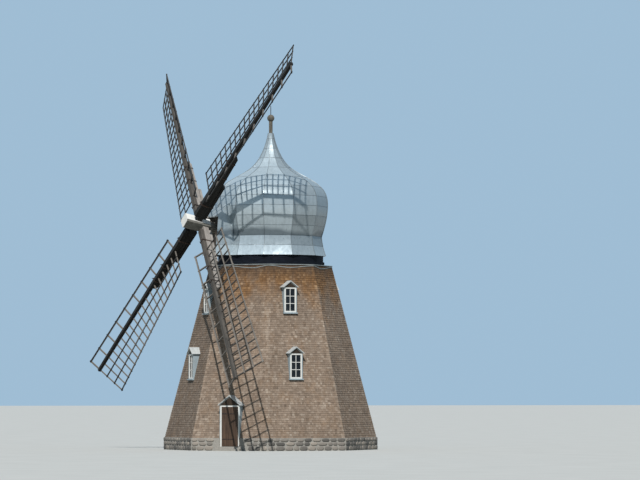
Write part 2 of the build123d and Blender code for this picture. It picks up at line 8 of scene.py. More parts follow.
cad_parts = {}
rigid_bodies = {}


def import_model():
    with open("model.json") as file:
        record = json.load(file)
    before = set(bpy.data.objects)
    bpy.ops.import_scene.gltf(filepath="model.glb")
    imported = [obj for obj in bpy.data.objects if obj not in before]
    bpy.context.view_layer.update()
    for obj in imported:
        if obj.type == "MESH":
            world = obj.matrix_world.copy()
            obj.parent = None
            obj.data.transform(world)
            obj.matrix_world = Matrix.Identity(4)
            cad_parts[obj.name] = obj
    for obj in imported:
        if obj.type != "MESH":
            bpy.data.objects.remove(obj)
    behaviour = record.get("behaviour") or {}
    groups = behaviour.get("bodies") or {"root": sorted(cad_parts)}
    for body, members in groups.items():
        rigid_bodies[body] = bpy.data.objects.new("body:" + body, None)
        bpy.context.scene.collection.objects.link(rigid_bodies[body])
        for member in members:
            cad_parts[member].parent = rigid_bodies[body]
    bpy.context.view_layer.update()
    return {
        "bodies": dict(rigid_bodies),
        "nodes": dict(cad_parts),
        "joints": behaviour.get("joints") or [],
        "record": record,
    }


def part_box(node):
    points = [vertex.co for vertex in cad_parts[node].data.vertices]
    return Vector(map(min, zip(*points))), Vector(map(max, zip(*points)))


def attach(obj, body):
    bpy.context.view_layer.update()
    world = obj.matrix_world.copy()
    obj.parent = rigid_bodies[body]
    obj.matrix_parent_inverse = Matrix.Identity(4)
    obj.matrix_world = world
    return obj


# Lengths are in metres. Azimuths are counted from the mill's front, which is -Y, towards +X.

# The camera stands low and far off, well round to one side of the mill's front, as for the photograph
VIEW_AZIMUTH = math.radians(64.0)
VIEW_DISTANCE = 170.0
VIEW_REACH = 2000.0
EYE_HEIGHT = 2.5
IMAGE_WIDTH = 640
IMAGE_HEIGHT = 480
SENSOR = 36.0
FOCAL_PIXELS = 3488.0
HORIZON_ROW = 398.0
AXIS_COLUMN = 270.6

# The sun stands high, almost behind the camera
SUN_AZIMUTH = math.radians(57.0)
SUN_HEIGHT = math.radians(46.0)
SUN_POWER = 3.75
SUN_SOFTNESS = math.radians(0.6)
SUN_TINT = (1.0, 0.965, 0.91)
SKY_POWER = 0.26
SKY_TINT = (0.62, 0.82, 1.0, 1.0)
BACKDROP = (0.35, 0.51, 0.66, 1.0)

# The floor looks pale, and throws light back at the mill as duller ground would
FLOOR_REACH = 900.0
FLOOR_TONES = ((0.53, 0.54, 0.53), (0.57, 0.58, 0.57))
GROUND_BOUNCE = (0.29, 0.30, 0.27)

# Tower, as in the solids
SIDES = 8
SIDE_ANGLE = math.radians(45.0)
TOWER_TURN = math.radians(-5.0)
BASE_APOTHEM = 4.89
BATTER = 0.242
PLINTH_HEIGHT = 0.6
PLINTH_PROUD = 0.06
WALL_TOP = 8.89

# Windows and doors, as in the solids
WINDOW_SIDES = (0, 2, 4, 6)
WINDOW_SHIFTS = (0.0, -0.28, 0.0, 0.0)
WINDOW_SILLS = (3.42, 6.59)
WINDOW_SIZE = (0.6, 1.2)
DOOR_SIDES = (1, 5)
DOOR_BASE = 0.2
DOOR_SIZE = (1.0, 1.95)
DOOR_SETBACK = 0.15
FRAME_BAR = 0.07
FRAME_DEPTH = 0.09
FRAME_PROUD = 0.06
CHEEK = 0.03
HOOD_EAVE = 0.09
HOOD_PITCH = math.radians(38.0)

# Cap, as in the solids
GORES = 12
GORE_ANGLE = math.radians(30.0)
GORE_TURN = math.radians(-3.0)
CAP_BASE = 9.3903
CAP_TIP = CAP_BASE + 6.03
WAIST_HEIGHT = 0.94

# Sails, as in the solids
HUB_FORWARD = 3.81
HUB_RISE = 1.495
HUB = Vector((0.0, -HUB_FORWARD, CAP_BASE + HUB_RISE))
SHAFT_TILT = math.radians(12.0)
SAIL_TURN = math.radians(47.0)
BACK_STOCK_SKEW = math.radians(-1.0)
STOCK_SPACING = 0.414
STOCK_SIZE = 0.29
WHIP_END_DEPTH = 0.14
BAR_START = 1.917
BAR_PITCH = 0.961
WIDE_SIDE = 1.54
WIDE_LATHS = 3
LATH_SHARE = 0.075
HEM_WIDTH = 0.045
LEADING_SIDE = 0.61
LEADING_LATH = 0.035
SAIL_NAMES = ("upper_right", "lower_right", "lower_left", "upper_left")
HUB_STRAP_PLACE = 1.25
STRAPPED_BARS = (2, 4)
STRAP_PLACES = [HUB_STRAP_PLACE] + [BAR_START + (bar + 0.5) * BAR_PITCH / 2 for bar in STRAPPED_BARS]

# Every random draw follows from this number
SEED = 8175

# Shingles
COURSE = 0.108
SHINGLE_WIDTHS = (0.07, 0.15)
SHINGLE_BUTT = 0.019
SHINGLE_TUCK = 0.002
SHINGLE_OVERLAP = 0.2
SHINGLE_GAP = 0.003
SHINGLE_DROP = 0.009
SHINGLE_SKEW = 0.006
MEAN_SHADE = 0.48
SHADE_SPREAD = 0.14
CORNER_BLEACH = 0.11
SILL_ROOM = 0.06
OPENING_MARGIN = 0.02

# Lead edge over the top course
FLASHING_STEPS = 24
FLASHING_DROP = 0.025
FLASHING_SAG = (0.05, 0.14)
FLASHING_PEAK = (0.3, 0.7)
FLASHING_HEIGHT = 0.03
FLASHING_BACK = 0.004
FLASHING_FRONT = 0.03

# Glazing bars and gable boards
GLAZING_BAR = 0.03
GLAZING_INSET = 0.004
UPRIGHT_DEPTH = 0.024
LEVEL_DEPTH = 0.02
GLAZING_CHAMFER = 0.006
GABLE_MARGIN = 0.012
GABLE_FOOT = 0.008
GABLE_BACK = 0.002
GABLE_PROUD = 0.02

# Door planks and irons
DOOR_PLANKS = 7
PLANK_RECESS = 0.02
PLANK_GAP = 0.003
PLANK_FOOT = 0.012
PLANK_BACK = -0.002
PLANK_FRONT = 0.016
HINGE_FOOT = 0.32
HINGE_HEAD = 0.42
HINGE_WIDTH = 0.05
HINGE_FRONT = 0.024
HINGE_STOP = 0.2
HINGE_NAILS = 4
NAIL_START = 0.06
NAIL_PITCH = 0.15
NAIL_RADIUS = 0.014
NAIL_HEIGHT = 0.008
HANDLE_INSET = 0.1
HANDLE_HEIGHT = 1.0
PLATE_RADIUS = 0.035
KNOB_RADIUS = 0.016
KNOB_FRONT = 0.06
IRON_SINK = 0.002
IRON_CHAMFER = 0.004

# Plinth stones
STONE_COURSES = (0.0, 0.23, 0.42, 0.6)
STONE_WIDTHS = (0.24, 0.52)
STONE_GAP = 0.008
STONE_DEPTH = 0.035
STONE_CORNERS = 10
CORNER_MARGIN = 0.01
DOOR_GAP_HALF = 0.72

# Cap sheets: the number that gives the gores' random tones, the first of the gores made darker as painted
# reflection, the reach of the rays that find the sheet, and the room that the hood takes
GORE_SEED = 5.0
DARK_REFLECTION_GORE = 3
CAP_REACH = 6.0
HOOD_HALF = 0.76
HOOD_BACK = -1.6
HOOD_MARGIN = 0.02

# Cap seams
SEAM_PROFILE = ((-0.5, -0.1), (-0.32, 1.0), (0.32, 1.0), (0.5, -0.1))
RIDGE_WIDTH = 0.035
RIDGE_PROUD = 0.02
RIDGE_STEPS = 90
RIDGE_SLIP = 0.0005
RIDGE_END_GAP = 0.005
SEAM_PITCH = 0.48
SEAM_HEIGHT = 0.03
SEAM_PROUD = 0.008
SEAM_STEPS = 8
SEAM_SLIP = 0.002
SLOPE_STEP = 0.04

# Bolts through the straps
BOLT_SPREAD = 0.085
BOLT_FOOT = 0.17
BOLT_RADIUS = 0.012
BOLT_TOP = 0.27
NUT_RADIUS = 0.026
NUT_TOP = 0.225

random.seed(SEED)


# Camera, light and floor

def direction(azimuth, height):
    """The way to a point at that azimuth, counted from the front, and height above the horizon."""
    return Vector((
        math.sin(azimuth) * math.cos(height),
        -math.cos(azimuth) * math.cos(height),
        math.sin(height),
    ))


def build_camera():
    """The photograph's view: level lines meet its horizon, and the mill's axis its column."""
    data = bpy.data.cameras.new("camera")
    data.sensor_width = SENSOR
    data.lens = FOCAL_PIXELS / IMAGE_WIDTH * SENSOR
    data.clip_end = VIEW_REACH
    camera = bpy.data.objects.new("camera", data)
    bpy.context.scene.collection.objects.link(camera)
    pitch = math.atan((HORIZON_ROW - IMAGE_HEIGHT / 2) / FOCAL_PIXELS)
    turn = math.atan((IMAGE_WIDTH / 2 - AXIS_COLUMN) / FOCAL_PIXELS * math.cos(pitch))
    heading = direction(VIEW_AZIMUTH - turn, 0.0) * -1
    up = Vector((0, 0, 1))
    look = heading * math.cos(pitch) + up * math.sin(pitch)
    right = look.cross(up).normalized()
    axes = Matrix((right, right.cross(look), -look)).transposed()
    place = direction(VIEW_AZIMUTH, 0.0) * VIEW_DISTANCE + up * EYE_HEIGHT
    camera.matrix_world = Matrix.Translation(place) @ axes.to_4x4()
    bpy.context.scene.camera = camera
    bpy.context.scene.view_settings.view_transform = "Standard"


def background_rays(tree):
    """1 for the rays that show the background: straight, mirrored or seen through glass."""
    rays = tree.nodes.new("ShaderNodeLightPath")
    shown = rays.outputs["Is Camera Ray"]
    for ray in ("Is Glossy Ray", "Is Transmission Ray"):
        either = tree.nodes.new("ShaderNodeMath")
        either.operation = "MAXIMUM"
        tree.links.new(shown, either.inputs[0])
        tree.links.new(rays.outputs[ray], either.inputs[1])
        shown = either.outputs["Value"]
    return shown


def build_lights():
    """One sun, and a sky that gives soft light and shows as the backdrop."""
    sun = bpy.data.lights.new("sun", "SUN")
    sun.energy = SUN_POWER
    sun.angle = SUN_SOFTNESS
    sun.color = SUN_TINT
    lamp = bpy.data.objects.new("sun", sun)
    bpy.context.scene.collection.objects.link(lamp)
    lamp.rotation_euler = direction(SUN_AZIMUTH, SUN_HEIGHT).to_track_quat("Z", "Y").to_euler()
    world = bpy.data.worlds.new("sky")
    bpy.context.scene.world = world
    world.use_nodes = True
    tree = world.node_tree
    light = tree.nodes["Background"]
    light.inputs["Color"].default_value = SKY_TINT
    light.inputs["Strength"].default_value = SKY_POWER
    seen = tree.nodes.new("ShaderNodeBackground")
    seen.inputs["Color"].default_value = BACKDROP
    choice = tree.nodes.new("ShaderNodeMixShader")
    tree.links.new(background_rays(tree), choice.inputs["Fac"])
    tree.links.new(light.outputs["Background"], choice.inputs[1])
    tree.links.new(seen.outputs["Background"], choice.inputs[2])
    tree.links.new(choice.outputs["Shader"], tree.nodes["World Output"].inputs["Surface"])


def build_floor():
    """A plain pale floor."""
    signs = ((-1, -1), (1, -1), (1, 1), (-1, 1))
    corners = [(x * FLOOR_REACH, y * FLOOR_REACH, 0) for x, y in signs]
    mesh = bpy.data.meshes.new("floor")
    mesh.from_pydata(corners, [], [(0, 1, 2, 3)])
    floor = bpy.data.objects.new("floor", mesh)
    bpy.context.scene.collection.objects.link(floor)
    paint = Paint("floor_paint", 0.95)
    grain = paint.noise(paint.place(), 0.5, 3)
    pale = paint.ramp(grain, list(zip((0.3, 0.7), FLOOR_TONES)))
    paint.colour(paint.mix(background_rays(paint.tree), GROUND_BOUNCE, pale))
    mesh.materials.append(paint.material)


# Materials

class Paint:
    """A node material that is put together step by step."""

    def __init__(self, name, roughness, metallic=0.0):
        self.material = bpy.data.materials.new(name)
        self.material.use_nodes = True
        self.tree = self.material.node_tree
        self.shader = self.tree.nodes["Principled BSDF"]
        self.shader.inputs["Roughness"].default_value = roughness
        self.shader.inputs["Metallic"].default_value = metallic

    def node(self, kind, **settings):
        made = self.tree.nodes.new(kind)
        for key, value in settings.items():
            setattr(made, key, value)
        return made

    def join(self, value, socket):
        """Link a socket or set a plain value."""
        if isinstance(value, bpy.types.NodeSocket):
            self.tree.links.new(value, socket)
        else:
            socket.default_value = value

    def place(self, scale=(1, 1, 1), frame=None):
        """Object coordinates, turned into a piece's own frame and stretched."""
        vector = self.node("ShaderNodeTexCoord").outputs["Object"]
        if frame is not None:
            turn = self.node("ShaderNodeMapping", vector_type="TEXTURE")
            turn.inputs["Location"].default_value = frame.to_translation()
            turn.inputs["Rotation"].default_value = frame.to_euler()
            self.tree.links.new(vector, turn.inputs["Vector"])
            vector = turn.outputs["Vector"]
        if tuple(scale) != (1, 1, 1):
            stretch = self.node("ShaderNodeMapping")
            stretch.inputs["Scale"].default_value = scale
            self.tree.links.new(vector, stretch.inputs["Vector"])
            vector = stretch.outputs["Vector"]
        return vector

    def noise(self, vector, scale, detail=4.0, rough=0.55, warp=0.0):
        made = self.node("ShaderNodeTexNoise")
        self.tree.links.new(vector, made.inputs["Vector"])
        made.inputs["Scale"].default_value = scale
        made.inputs["Detail"].default_value = detail
        made.inputs["Roughness"].default_value = rough
        made.inputs["Distortion"].default_value = warp
        return made.outputs["Fac"]

    def math(self, operation, *values):
        made = self.node("ShaderNodeMath", operation=operation)
        for index, value in enumerate(values):
            self.join(value, made.inputs[index])
        return made.outputs["Value"]

    def between(self, value, low, high, new_low=0.0, new_high=1.0):
        """Stretch a range of a value to a new range, clamped."""
        made = self.node("ShaderNodeMapRange")
        self.join(value, made.inputs["Value"])
        ends = {"From Min": low, "From Max": high, "To Min": new_low, "To Max": new_high}
        for name, number in ends.items():
            made.inputs[name].default_value = number
        return made.outputs["Result"]

    def axes(self, vector):
        made = self.node("ShaderNodeSeparateXYZ")
        self.tree.links.new(vector, made.inputs["Vector"])
        return made.outputs

    def ramp(self, value, stops):
        """A colour that changes with a value; stops are (place, colour)."""
        made = self.node("ShaderNodeValToRGB")
        self.join(value, made.inputs["Fac"])
        points = made.color_ramp.elements
        while len(points) < len(stops):
            points.new(0.5)
        for point, (where, colour) in zip(points, stops):
            point.position = where
            point.color = (*colour, 1.0)
        return made.outputs["Color"]

    def mix(self, share, first, second, blend="MIX"):
        made = self.node("ShaderNodeMix", data_type="RGBA", blend_type=blend)
        self.join(share, made.inputs["Factor"])
        for value, socket in ((first, made.inputs["A"]), (second, made.inputs["B"])):
            if isinstance(value, tuple):
                value = (*value, 1.0)
            self.join(value, socket)
        return made.outputs["Result"]

    def shade(self, colour, value, low, high):
        """Darken or lighten a colour by a value between two strengths."""
        return self.mix(1.0, colour, self.grey(self.between(value, 0.25, 0.75, low, high)), "MULTIPLY")

    def grey(self, value):
        made = self.node("ShaderNodeCombineColor")
        for name in ("Red", "Green", "Blue"):
            self.join(value, made.inputs[name])
        return made.outputs["Color"]

    def attribute(self, name):
        return self.node("ShaderNodeAttribute", attribute_name=name).outputs["Fac"]

    def colour(self, socket):
        self.tree.links.new(socket, self.shader.inputs["Base Color"])

    def gloss(self, value, low, high):
        self.tree.links.new(self.between(value, 0.25, 0.75, low, high), self.shader.inputs["Roughness"])

    def bump(self, height, strength, distance):
        made = self.node("ShaderNodeBump")
        made.inputs["Strength"].default_value = strength
        made.inputs["Distance"].default_value = distance
        self.tree.links.new(height, made.inputs["Height"])
        self.tree.links.new(made.outputs["Normal"], self.shader.inputs["Normal"])


def arm_frame(number):
    """One sail's own frame: x outwards along its stock, y to the wide side, z to the front."""
    front = Vector((0, -math.cos(SHAFT_TILT), math.sin(SHAFT_TILT)))
    level_up = Vector((0, math.sin(SHAFT_TILT), math.cos(SHAFT_TILT)))
    at_front = number % 2 == 0
    angle = SAIL_TURN + number * math.pi / 2 + (0 if at_front else BACK_STOCK_SKEW)
    out = Vector((1, 0, 0)) * math.sin(angle) + level_up * math.cos(angle)
    shift = STOCK_SPACING / 2 if at_front else -STOCK_SPACING / 2
    axes = Matrix((out, front.cross(out), front)).transposed().to_4x4()
    return Matrix.Translation(HUB + front * shift) @ axes


def wood(name, dark, light, roughness, frame=None, grain=(1.2, 26, 26), grime=0.6, shine=0.35):
    """Weathered timber with its grain along x of the frame."""
    paint = Paint(name, roughness)
    paint.shader.inputs["Specular IOR Level"].default_value = shine
    fibres = paint.noise(paint.place(grain, frame), 1.0, 6, 0.62, 0.4)
    patches = paint.noise(paint.place((1, 1, 1), frame), 1.7, 5)
    colour = paint.ramp(fibres, [(0.32, dark), (0.68, light)])
    paint.colour(paint.shade(colour, patches, grime, 1.15))
    paint.gloss(patches, roughness - 0.12, roughness + 0.08)
    paint.bump(fibres, 0.35, 0.006)
    return paint.material


def painted(name, tone, worn, roughness):
    """Old paint: streaked, dirty, and worn through in places."""
    paint = Paint(name, roughness)
    streaks = paint.noise(paint.place((9, 9, 1.4)), 1.0, 6, 0.6)
    patches = paint.noise(paint.place(), 5.5, 8, 0.7)
    colour = paint.mix(paint.between(patches, 0.62, 0.72), tone, worn)
    paint.colour(paint.shade(colour, streaks, 0.78, 1.06))
    paint.gloss(streaks, roughness - 0.1, roughness + 0.12)
    paint.bump(patches, 0.15, 0.002)
    return paint.material


def poll_paint():
    """White paint that lasted in front and on top; the flanks and the underside are weathered."""
    paint = Paint("poll_paint", 0.6)
    patches = paint.noise(paint.place(), 5.5, 8, 0.7)
    grain = paint.noise(paint.place((22, 2, 22)), 1.0, 6, 0.6)
    normal = paint.axes(paint.node("ShaderNodeTexCoord").outputs["Normal"])
    ahead = paint.between(paint.math("MULTIPLY", normal["Y"], -1.0), 0.55, 0.8)
    above = paint.between(normal["Z"], 0.25, 0.55)
    kept = paint.math("MAXIMUM", ahead, above)
    bare = paint.ramp(grain, [(0.3, (0.10, 0.098, 0.088)), (0.7, (0.24, 0.235, 0.21))])
    white = paint.mix(paint.between(patches, 0.56, 0.66), (0.80, 0.80, 0.78), (0.45, 0.44, 0.40))
    rest = paint.mix(paint.between(patches, 0.6, 0.66), bare, (0.55, 0.55, 0.52))
    paint.colour(paint.mix(kept, rest, white))
    paint.bump(grain, 0.3, 0.004)
    return paint.material


def shingle_paint():
    """Split shingles: orange-brown under the cap, bleached to a pinkish grey-brown lower down.

    The side that faces straight to the front is darker than the others, as in the photograph: painted
    shade.
    """
    paint = Paint("shingles", 0.86)
    height = paint.axes(paint.place())["Z"]
    blotch = paint.noise(paint.place((1, 1, 0.6)), 1.1, 6, 0.65)
    patch = paint.noise(paint.place((1, 1, 0.8)), 2.3, 5, 0.7)
    fibre = paint.noise(paint.place((34, 34, 2.2)), 1.0, 5, 0.6)
    stain = paint.noise(paint.place((5, 5, 0.7)), 1.0, 5, 0.65)
    board = paint.attribute("shade")
    edge = paint.math("ADD", height, paint.between(blotch, 0.3, 0.7, -1.1, 1.1))
    bleached = ((0.14, 0.102, 0.076), (0.255, 0.193, 0.148), (0.42, 0.355, 0.295))
    fresh = ((0.070, 0.032, 0.010), (0.19, 0.098, 0.038), (0.33, 0.20, 0.10))
    low = paint.ramp(board, list(zip((0.0, 0.5, 1.0), bleached)))
    high = paint.ramp(board, list(zip((0.0, 0.5, 1.0), fresh)))
    low = paint.mix(paint.between(patch, 0.48, 0.66, 0.0, 0.36), low, (0.27, 0.17, 0.10))
    colour = paint.mix(paint.between(edge, 6.7, 8.4), low, high)
    # Darker towards near-black just under the top plate: stains, and painted shade of the overhanging cap
    stain_and_shade_height = paint.math("SUBTRACT", height, stain)
    under_plate_stain_and_shade = paint.between(stain_and_shade_height, WALL_TOP - 1.2, WALL_TOP - 0.55, 0.0, 0.72)
    colour = paint.mix(under_plate_stain_and_shade, colour, (0.040, 0.026, 0.018))
    colour = paint.shade(colour, fibre, 0.78, 1.15)
    # Painted shade: the side that faces straight to the front is made darker
    normal = paint.axes(paint.node("ShaderNodeTexCoord").outputs["Normal"])
    front = paint.between(paint.math("MULTIPLY", normal["Y"], -1.0), 0.8, 0.92, 1.0, 0.76)
    colour = paint.mix(1.0, colour, paint.grey(front), "MULTIPLY")
    paint.colour(paint.shade(colour, blotch, 0.76, 1.18))
    paint.bump(fibre, 0.5, 0.004)
    return paint.material


def wall_board_paint():
    """Boarding behind the shingles, dark in the joints between them."""
    return wood("boarding", (0.05, 0.034, 0.024), (0.11, 0.075, 0.05), 0.9, None, (2, 2, 26))


def panel_numbers(paint, axes):
    """Which row of panels and which gore a point of the cap belongs to."""
    rise = paint.math("SUBTRACT", axes["Z"], CAP_BASE)
    course = paint.math("FLOOR", paint.math("DIVIDE", rise, SEAM_PITCH))
    angle = paint.math("ARCTAN2", axes["X"], paint.math("MULTIPLY", axes["Y"], -1.0))
    turned = paint.math("SUBTRACT", angle, GORE_TURN)
    return course, paint.math("FLOOR", paint.math("DIVIDE", turned, GORE_ANGLE))


def tone_and_painted_reflection(paint, course, gore):
    """Painted reflection and shade: the lowest row is the brightest and the next ones are dull, as are the
    gores round to the back.
    """
    lone = paint.node("ShaderNodeTexWhiteNoise", noise_dimensions="1D")
    paint.tree.links.new(paint.math("ADD", gore, GORE_SEED), lone.inputs["W"])
    darker_reflection = paint.between(gore, DARK_REFLECTION_GORE - 0.8, DARK_REFLECTION_GORE - 0.2, 1.0, 0.74)
    gore_tone_and_reflection = paint.math("MULTIPLY", darker_reflection, paint.between(lone.outputs["Value"], 0, 1, 0.84, 1.06))
    low_rows_reflection = paint.between(course, 0, 1, 1.12, 0.84)
    row_reflection = paint.math("ADD", low_rows_reflection, paint.between(course, 3, 4, 0.0, 0.16))
    return paint.grey(paint.math("MULTIPLY", gore_tone_and_reflection, row_reflection))


def waist_painted_shade(paint, height):
    """How much painted shade and reflection lies at a height: an uneven band over the waist, with a sharp
    lower edge.
    """
    wave = paint.noise(paint.place((1, 1, 0.1)), 0.55, 1)
    above_waist = paint.math("SUBTRACT", height, CAP_BASE + WAIST_HEIGHT)
    uneven = paint.between(wave, 0.3, 0.7, -0.2, 0.3)
    arch = paint.between(paint.math("SUBTRACT", above_waist, uneven), 0.22, 0.04)
    return paint.math("MULTIPLY", arch, paint.between(above_waist, -0.01, 0.01, 0.0, 0.72))


def sheet_paint(name, tone):
    """Galvanised sheet: every panel has its own shade and dents."""
    paint = Paint(name, 0.33, 0.32)
    here = paint.place()
    axes = paint.axes(here)
    course, gore = panel_numbers(paint, axes)
    panel = paint.node("ShaderNodeCombineXYZ")
    paint.join(course, panel.inputs["X"])
    paint.join(gore, panel.inputs["Y"])
    own = paint.node("ShaderNodeTexWhiteNoise", noise_dimensions="3D")
    paint.tree.links.new(panel.outputs["Vector"], own.inputs["Vector"])
    shift = paint.node("ShaderNodeVectorMath", operation="MULTIPLY_ADD")
    paint.tree.links.new(own.outputs["Color"], shift.inputs[0])
    shift.inputs[1].default_value = (9.0, 9.0, 9.0)
    paint.tree.links.new(here, shift.inputs[2])
    dents = paint.noise(shift.outputs["Vector"], 1.5, 2, 0.45)
    bloom = paint.noise(here, 7.0, 8, 0.7)
    streaks = paint.noise(paint.place((7, 7, 0.8)), 1.0, 5, 0.6)
    colour = paint.ramp(bloom, [(0.3, tuple(0.82 * part for part in tone)), (0.7, tone)])
    panel_tone = paint.grey(paint.between(own.outputs["Value"], 0, 1, 0.86, 1.08))
    colour = paint.shade(paint.mix(1.0, colour, panel_tone, "MULTIPLY"), streaks, 0.88, 1.06)
    # Painted reflection and shade by row and gore, with a random tone for each gore
    colour = paint.mix(1.0, colour, tone_and_painted_reflection(paint, course, gore), "MULTIPLY")
    # The band over the waist is made dark blue-grey: painted shade and dark reflection
    paint.colour(paint.mix(waist_painted_shade(paint, axes["Z"]), colour, (0.07, 0.10, 0.125)))
    paint.gloss(bloom, 0.24, 0.39)
    paint.bump(dents, 0.6, 0.06)
    return paint.material


def lattice_paint(number, lath_tone, wide_tone, leading_tone):
    """One sail's laths and bars. In its own frame a lath is known by its distance from the whip."""
    paint = Paint(f"lattice_{SAIL_NAMES[number]}", 0.8)
    frame = arm_frame(number)
    axes = paint.axes(paint.place((1, 1, 1), frame))
    lift = paint.math("SUBTRACT", axes["Z"], STOCK_SIZE / 2 + WHIP_END_DEPTH / 2)
    squares = paint.math("ADD", paint.math("POWER", axes["Y"], 2.0), paint.math("POWER", lift, 2.0))
    across = paint.math("SQRT", squares)
    steps = paint.math("DIVIDE", across, WIDE_SIDE / WIDE_LATHS)
    off = paint.math("ABSOLUTE", paint.math("SUBTRACT", steps, paint.math("ROUND", steps)))
    hem = paint.math("GREATER_THAN", across, WIDE_SIDE - HEM_WIDTH)
    wide_lath = paint.math("MAXIMUM", hem, paint.math("LESS_THAN", off, LATH_SHARE))
    leading_lath = paint.math("GREATER_THAN", across, LEADING_SIDE - LEADING_LATH)
    wide = paint.math("GREATER_THAN", axes["Y"], 0.0)
    bars = paint.mix(wide, leading_tone, wide_tone)
    is_lath = paint.mix(wide, paint.grey(leading_lath), paint.grey(wide_lath))
    grain = paint.noise(paint.place((3, 3, 3), frame), 9.0, 6, 0.65)
    patches = paint.noise(paint.place((1, 1, 1), frame), 1.3, 4)
    colour = paint.mix(is_lath, bars, lath_tone)
    colour = paint.shade(colour, grain, 0.72, 1.2)
    paint.colour(paint.shade(colour, patches, 0.75, 1.15))
    paint.bump(grain, 0.4, 0.004)
    return paint.material


def glass_paint():
    """Old panes, slightly uneven; their near-black colour is painted shade of the dark room inside."""
    paint = Paint("window_glass", 0.07)
    paint.shader.inputs["Specular IOR Level"].default_value = 0.3
    waves = paint.noise(paint.place(), 3.0, 2)
    # Painted shade: the near-black colour stands for the dark room behind the panes
    paint.colour(paint.ramp(waves, [(0.35, (0.006, 0.007, 0.009)), (0.65, (0.018, 0.021, 0.025))]))
    paint.bump(waves, 0.2, 0.01)
    return paint.material


def stone_paint():
    """Fieldstones of different greys and browns, with lichen."""
    paint = Paint("fieldstone", 0.88)
    stone = paint.attribute("shade")
    grain = paint.noise(paint.place(), 26.0, 6, 0.7)
    lichen = paint.noise(paint.place(), 5.0, 6, 0.7)
    tones = ((0.10, 0.095, 0.09), (0.24, 0.22, 0.20), (0.36, 0.32, 0.28))
    colour = paint.ramp(stone, list(zip((0.0, 0.5, 1.0), tones)))
    colour = paint.mix(paint.between(lichen, 0.6, 0.68, 0.0, 0.6), colour, (0.36, 0.37, 0.27))
    paint.colour(paint.shade(colour, grain, 0.7, 1.2))
    paint.bump(grain, 0.6, 0.01)
    return paint.material


def mortar_paint():
    """Coarse pale mortar behind the stones."""
    paint = Paint("mortar", 0.95)
    grain = paint.noise(paint.place(), 18.0, 6, 0.7)
    paint.colour(paint.ramp(grain, [(0.3, (0.26, 0.25, 0.23)), (0.7, (0.40, 0.385, 0.355))]))
    paint.bump(grain, 0.6, 0.01)
    return paint.material


def iron_paint():
    """Blackened iron with rust."""
    paint = Paint("iron", 0.62, 0.4)
    rust = paint.noise(paint.place(), 12.0, 6, 0.7)
    paint.colour(paint.ramp(rust, [(0.4, (0.022, 0.021, 0.021)), (0.72, (0.10, 0.05, 0.028))]))
    paint.bump(rust, 0.3, 0.003)
    return paint.material


def lead_paint():
    """Stained lead."""
    paint = Paint("flashing", 0.55, 0.35)
    stain = paint.noise(paint.place((1, 1, 4)), 3.0, 6, 0.7)
    paint.colour(paint.ramp(stain, [(0.3, (0.16, 0.18, 0.18)), (0.7, (0.36, 0.39, 0.39))]))
    return paint.material


# Mesh pieces

class Piece:
    """Vertices and faces of one piece, with a shade for each part of it."""

    def __init__(self):
        self.points = []
        self.faces = []
        self.shades = []

    def add(self, points, faces, shade=0.5):
        start = len(self.points)
        self.points += [tuple(point) for point in points]
        self.faces += [tuple(start + index for index in face) for face in faces]
        self.shades += [shade] * len(points)

    def make(self, name, material, body, smooth=False):
        """The finished object, riding on its body."""
        mesh = bpy.data.meshes.new(name)
        mesh.from_pydata(self.points, [], self.faces)
        values = mesh.attributes.new("shade", "FLOAT", "POINT")
        values.data.foreach_set("value", self.shades)
        mesh.materials.append(material)
        if smooth:
            mesh.shade_smooth()
        made = bpy.data.objects.new(name, mesh)
        bpy.context.scene.collection.objects.link(made)
        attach(made, body)


def block(piece, frame, low, high, chamfer, shade=0.5):
    """A block in a frame; its top face (+z) is drawn in by the chamfer."""
    bottom = [(low[0], low[1]), (high[0], low[1]), (high[0], high[1]), (low[0], high[1])]
    inset = [
        (low[0] + chamfer, low[1] + chamfer),
        (high[0] - chamfer, low[1] + chamfer),
        (high[0] - chamfer, high[1] - chamfer),
        (low[0] + chamfer, high[1] - chamfer),
    ]
    points = [frame @ Vector((x, y, low[2])) for x, y in bottom]
    points += [frame @ Vector((x, y, high[2] - chamfer)) for x, y in bottom]
    points += [frame @ Vector((x, y, high[2])) for x, y in inset]
    faces = [(0, 3, 2, 1), (8, 9, 10, 11)]
    for start in (0, 4):
        for index in range(4):
            other = (index + 1) % 4
            faces.append((start + index, start + other, start + 4 + other, start + 4 + index))
    piece.add(points, faces, shade)


def prism(piece, frame, radius, low, high, sides, chamfer):
    """An upright prism with a chamfered top, for nails, bolts and nuts."""
    rings = [(radius, low), (radius, high - chamfer), (radius - chamfer, high)]
    points = []
    for size, height in rings:
        for index in range(sides):
            angle = 2 * math.pi * index / sides
            points.append(frame @ Vector((size * math.cos(angle), size * math.sin(angle), height)))
    faces = [tuple(range(sides - 1, -1, -1)), tuple(range(2 * sides, 3 * sides))]
    for ring in (0, sides):
        for index in range(sides):
            other = (index + 1) % sides
            faces.append((ring + index, ring + other, ring + sides + other, ring + sides + index))
    piece.add(points, faces)


def apothem(height):
    """Distance from the axis to the middle of a wall's outer face."""
    return BASE_APOTHEM - BATTER * height


def side_frame(side, distance, height, lean=0.0, shift=0.0):
    """A frame on one side of the tower: x along the wall, y up it, z out of it."""
    azimuth = TOWER_TURN + side * SIDE_ANGLE
    out = direction(azimuth, 0.0)
    along = Vector((math.cos(azimuth), math.sin(azimuth), 0))
    up = Vector((0, 0, 1))
    rise = up * math.cos(lean) - out * math.sin(lean)
    normal = along.cross(rise)
    axes = Matrix((along, rise, normal)).transposed().to_4x4()
    return Matrix.Translation(out * distance + along * shift + up * height) @ axes


def window_shift(side):
    """How far a side's windows stand from the middle of their wall."""
    return WINDOW_SHIFTS[WINDOW_SIDES.index(side)] if side in WINDOW_SIDES else 0.0


# Tower dressing

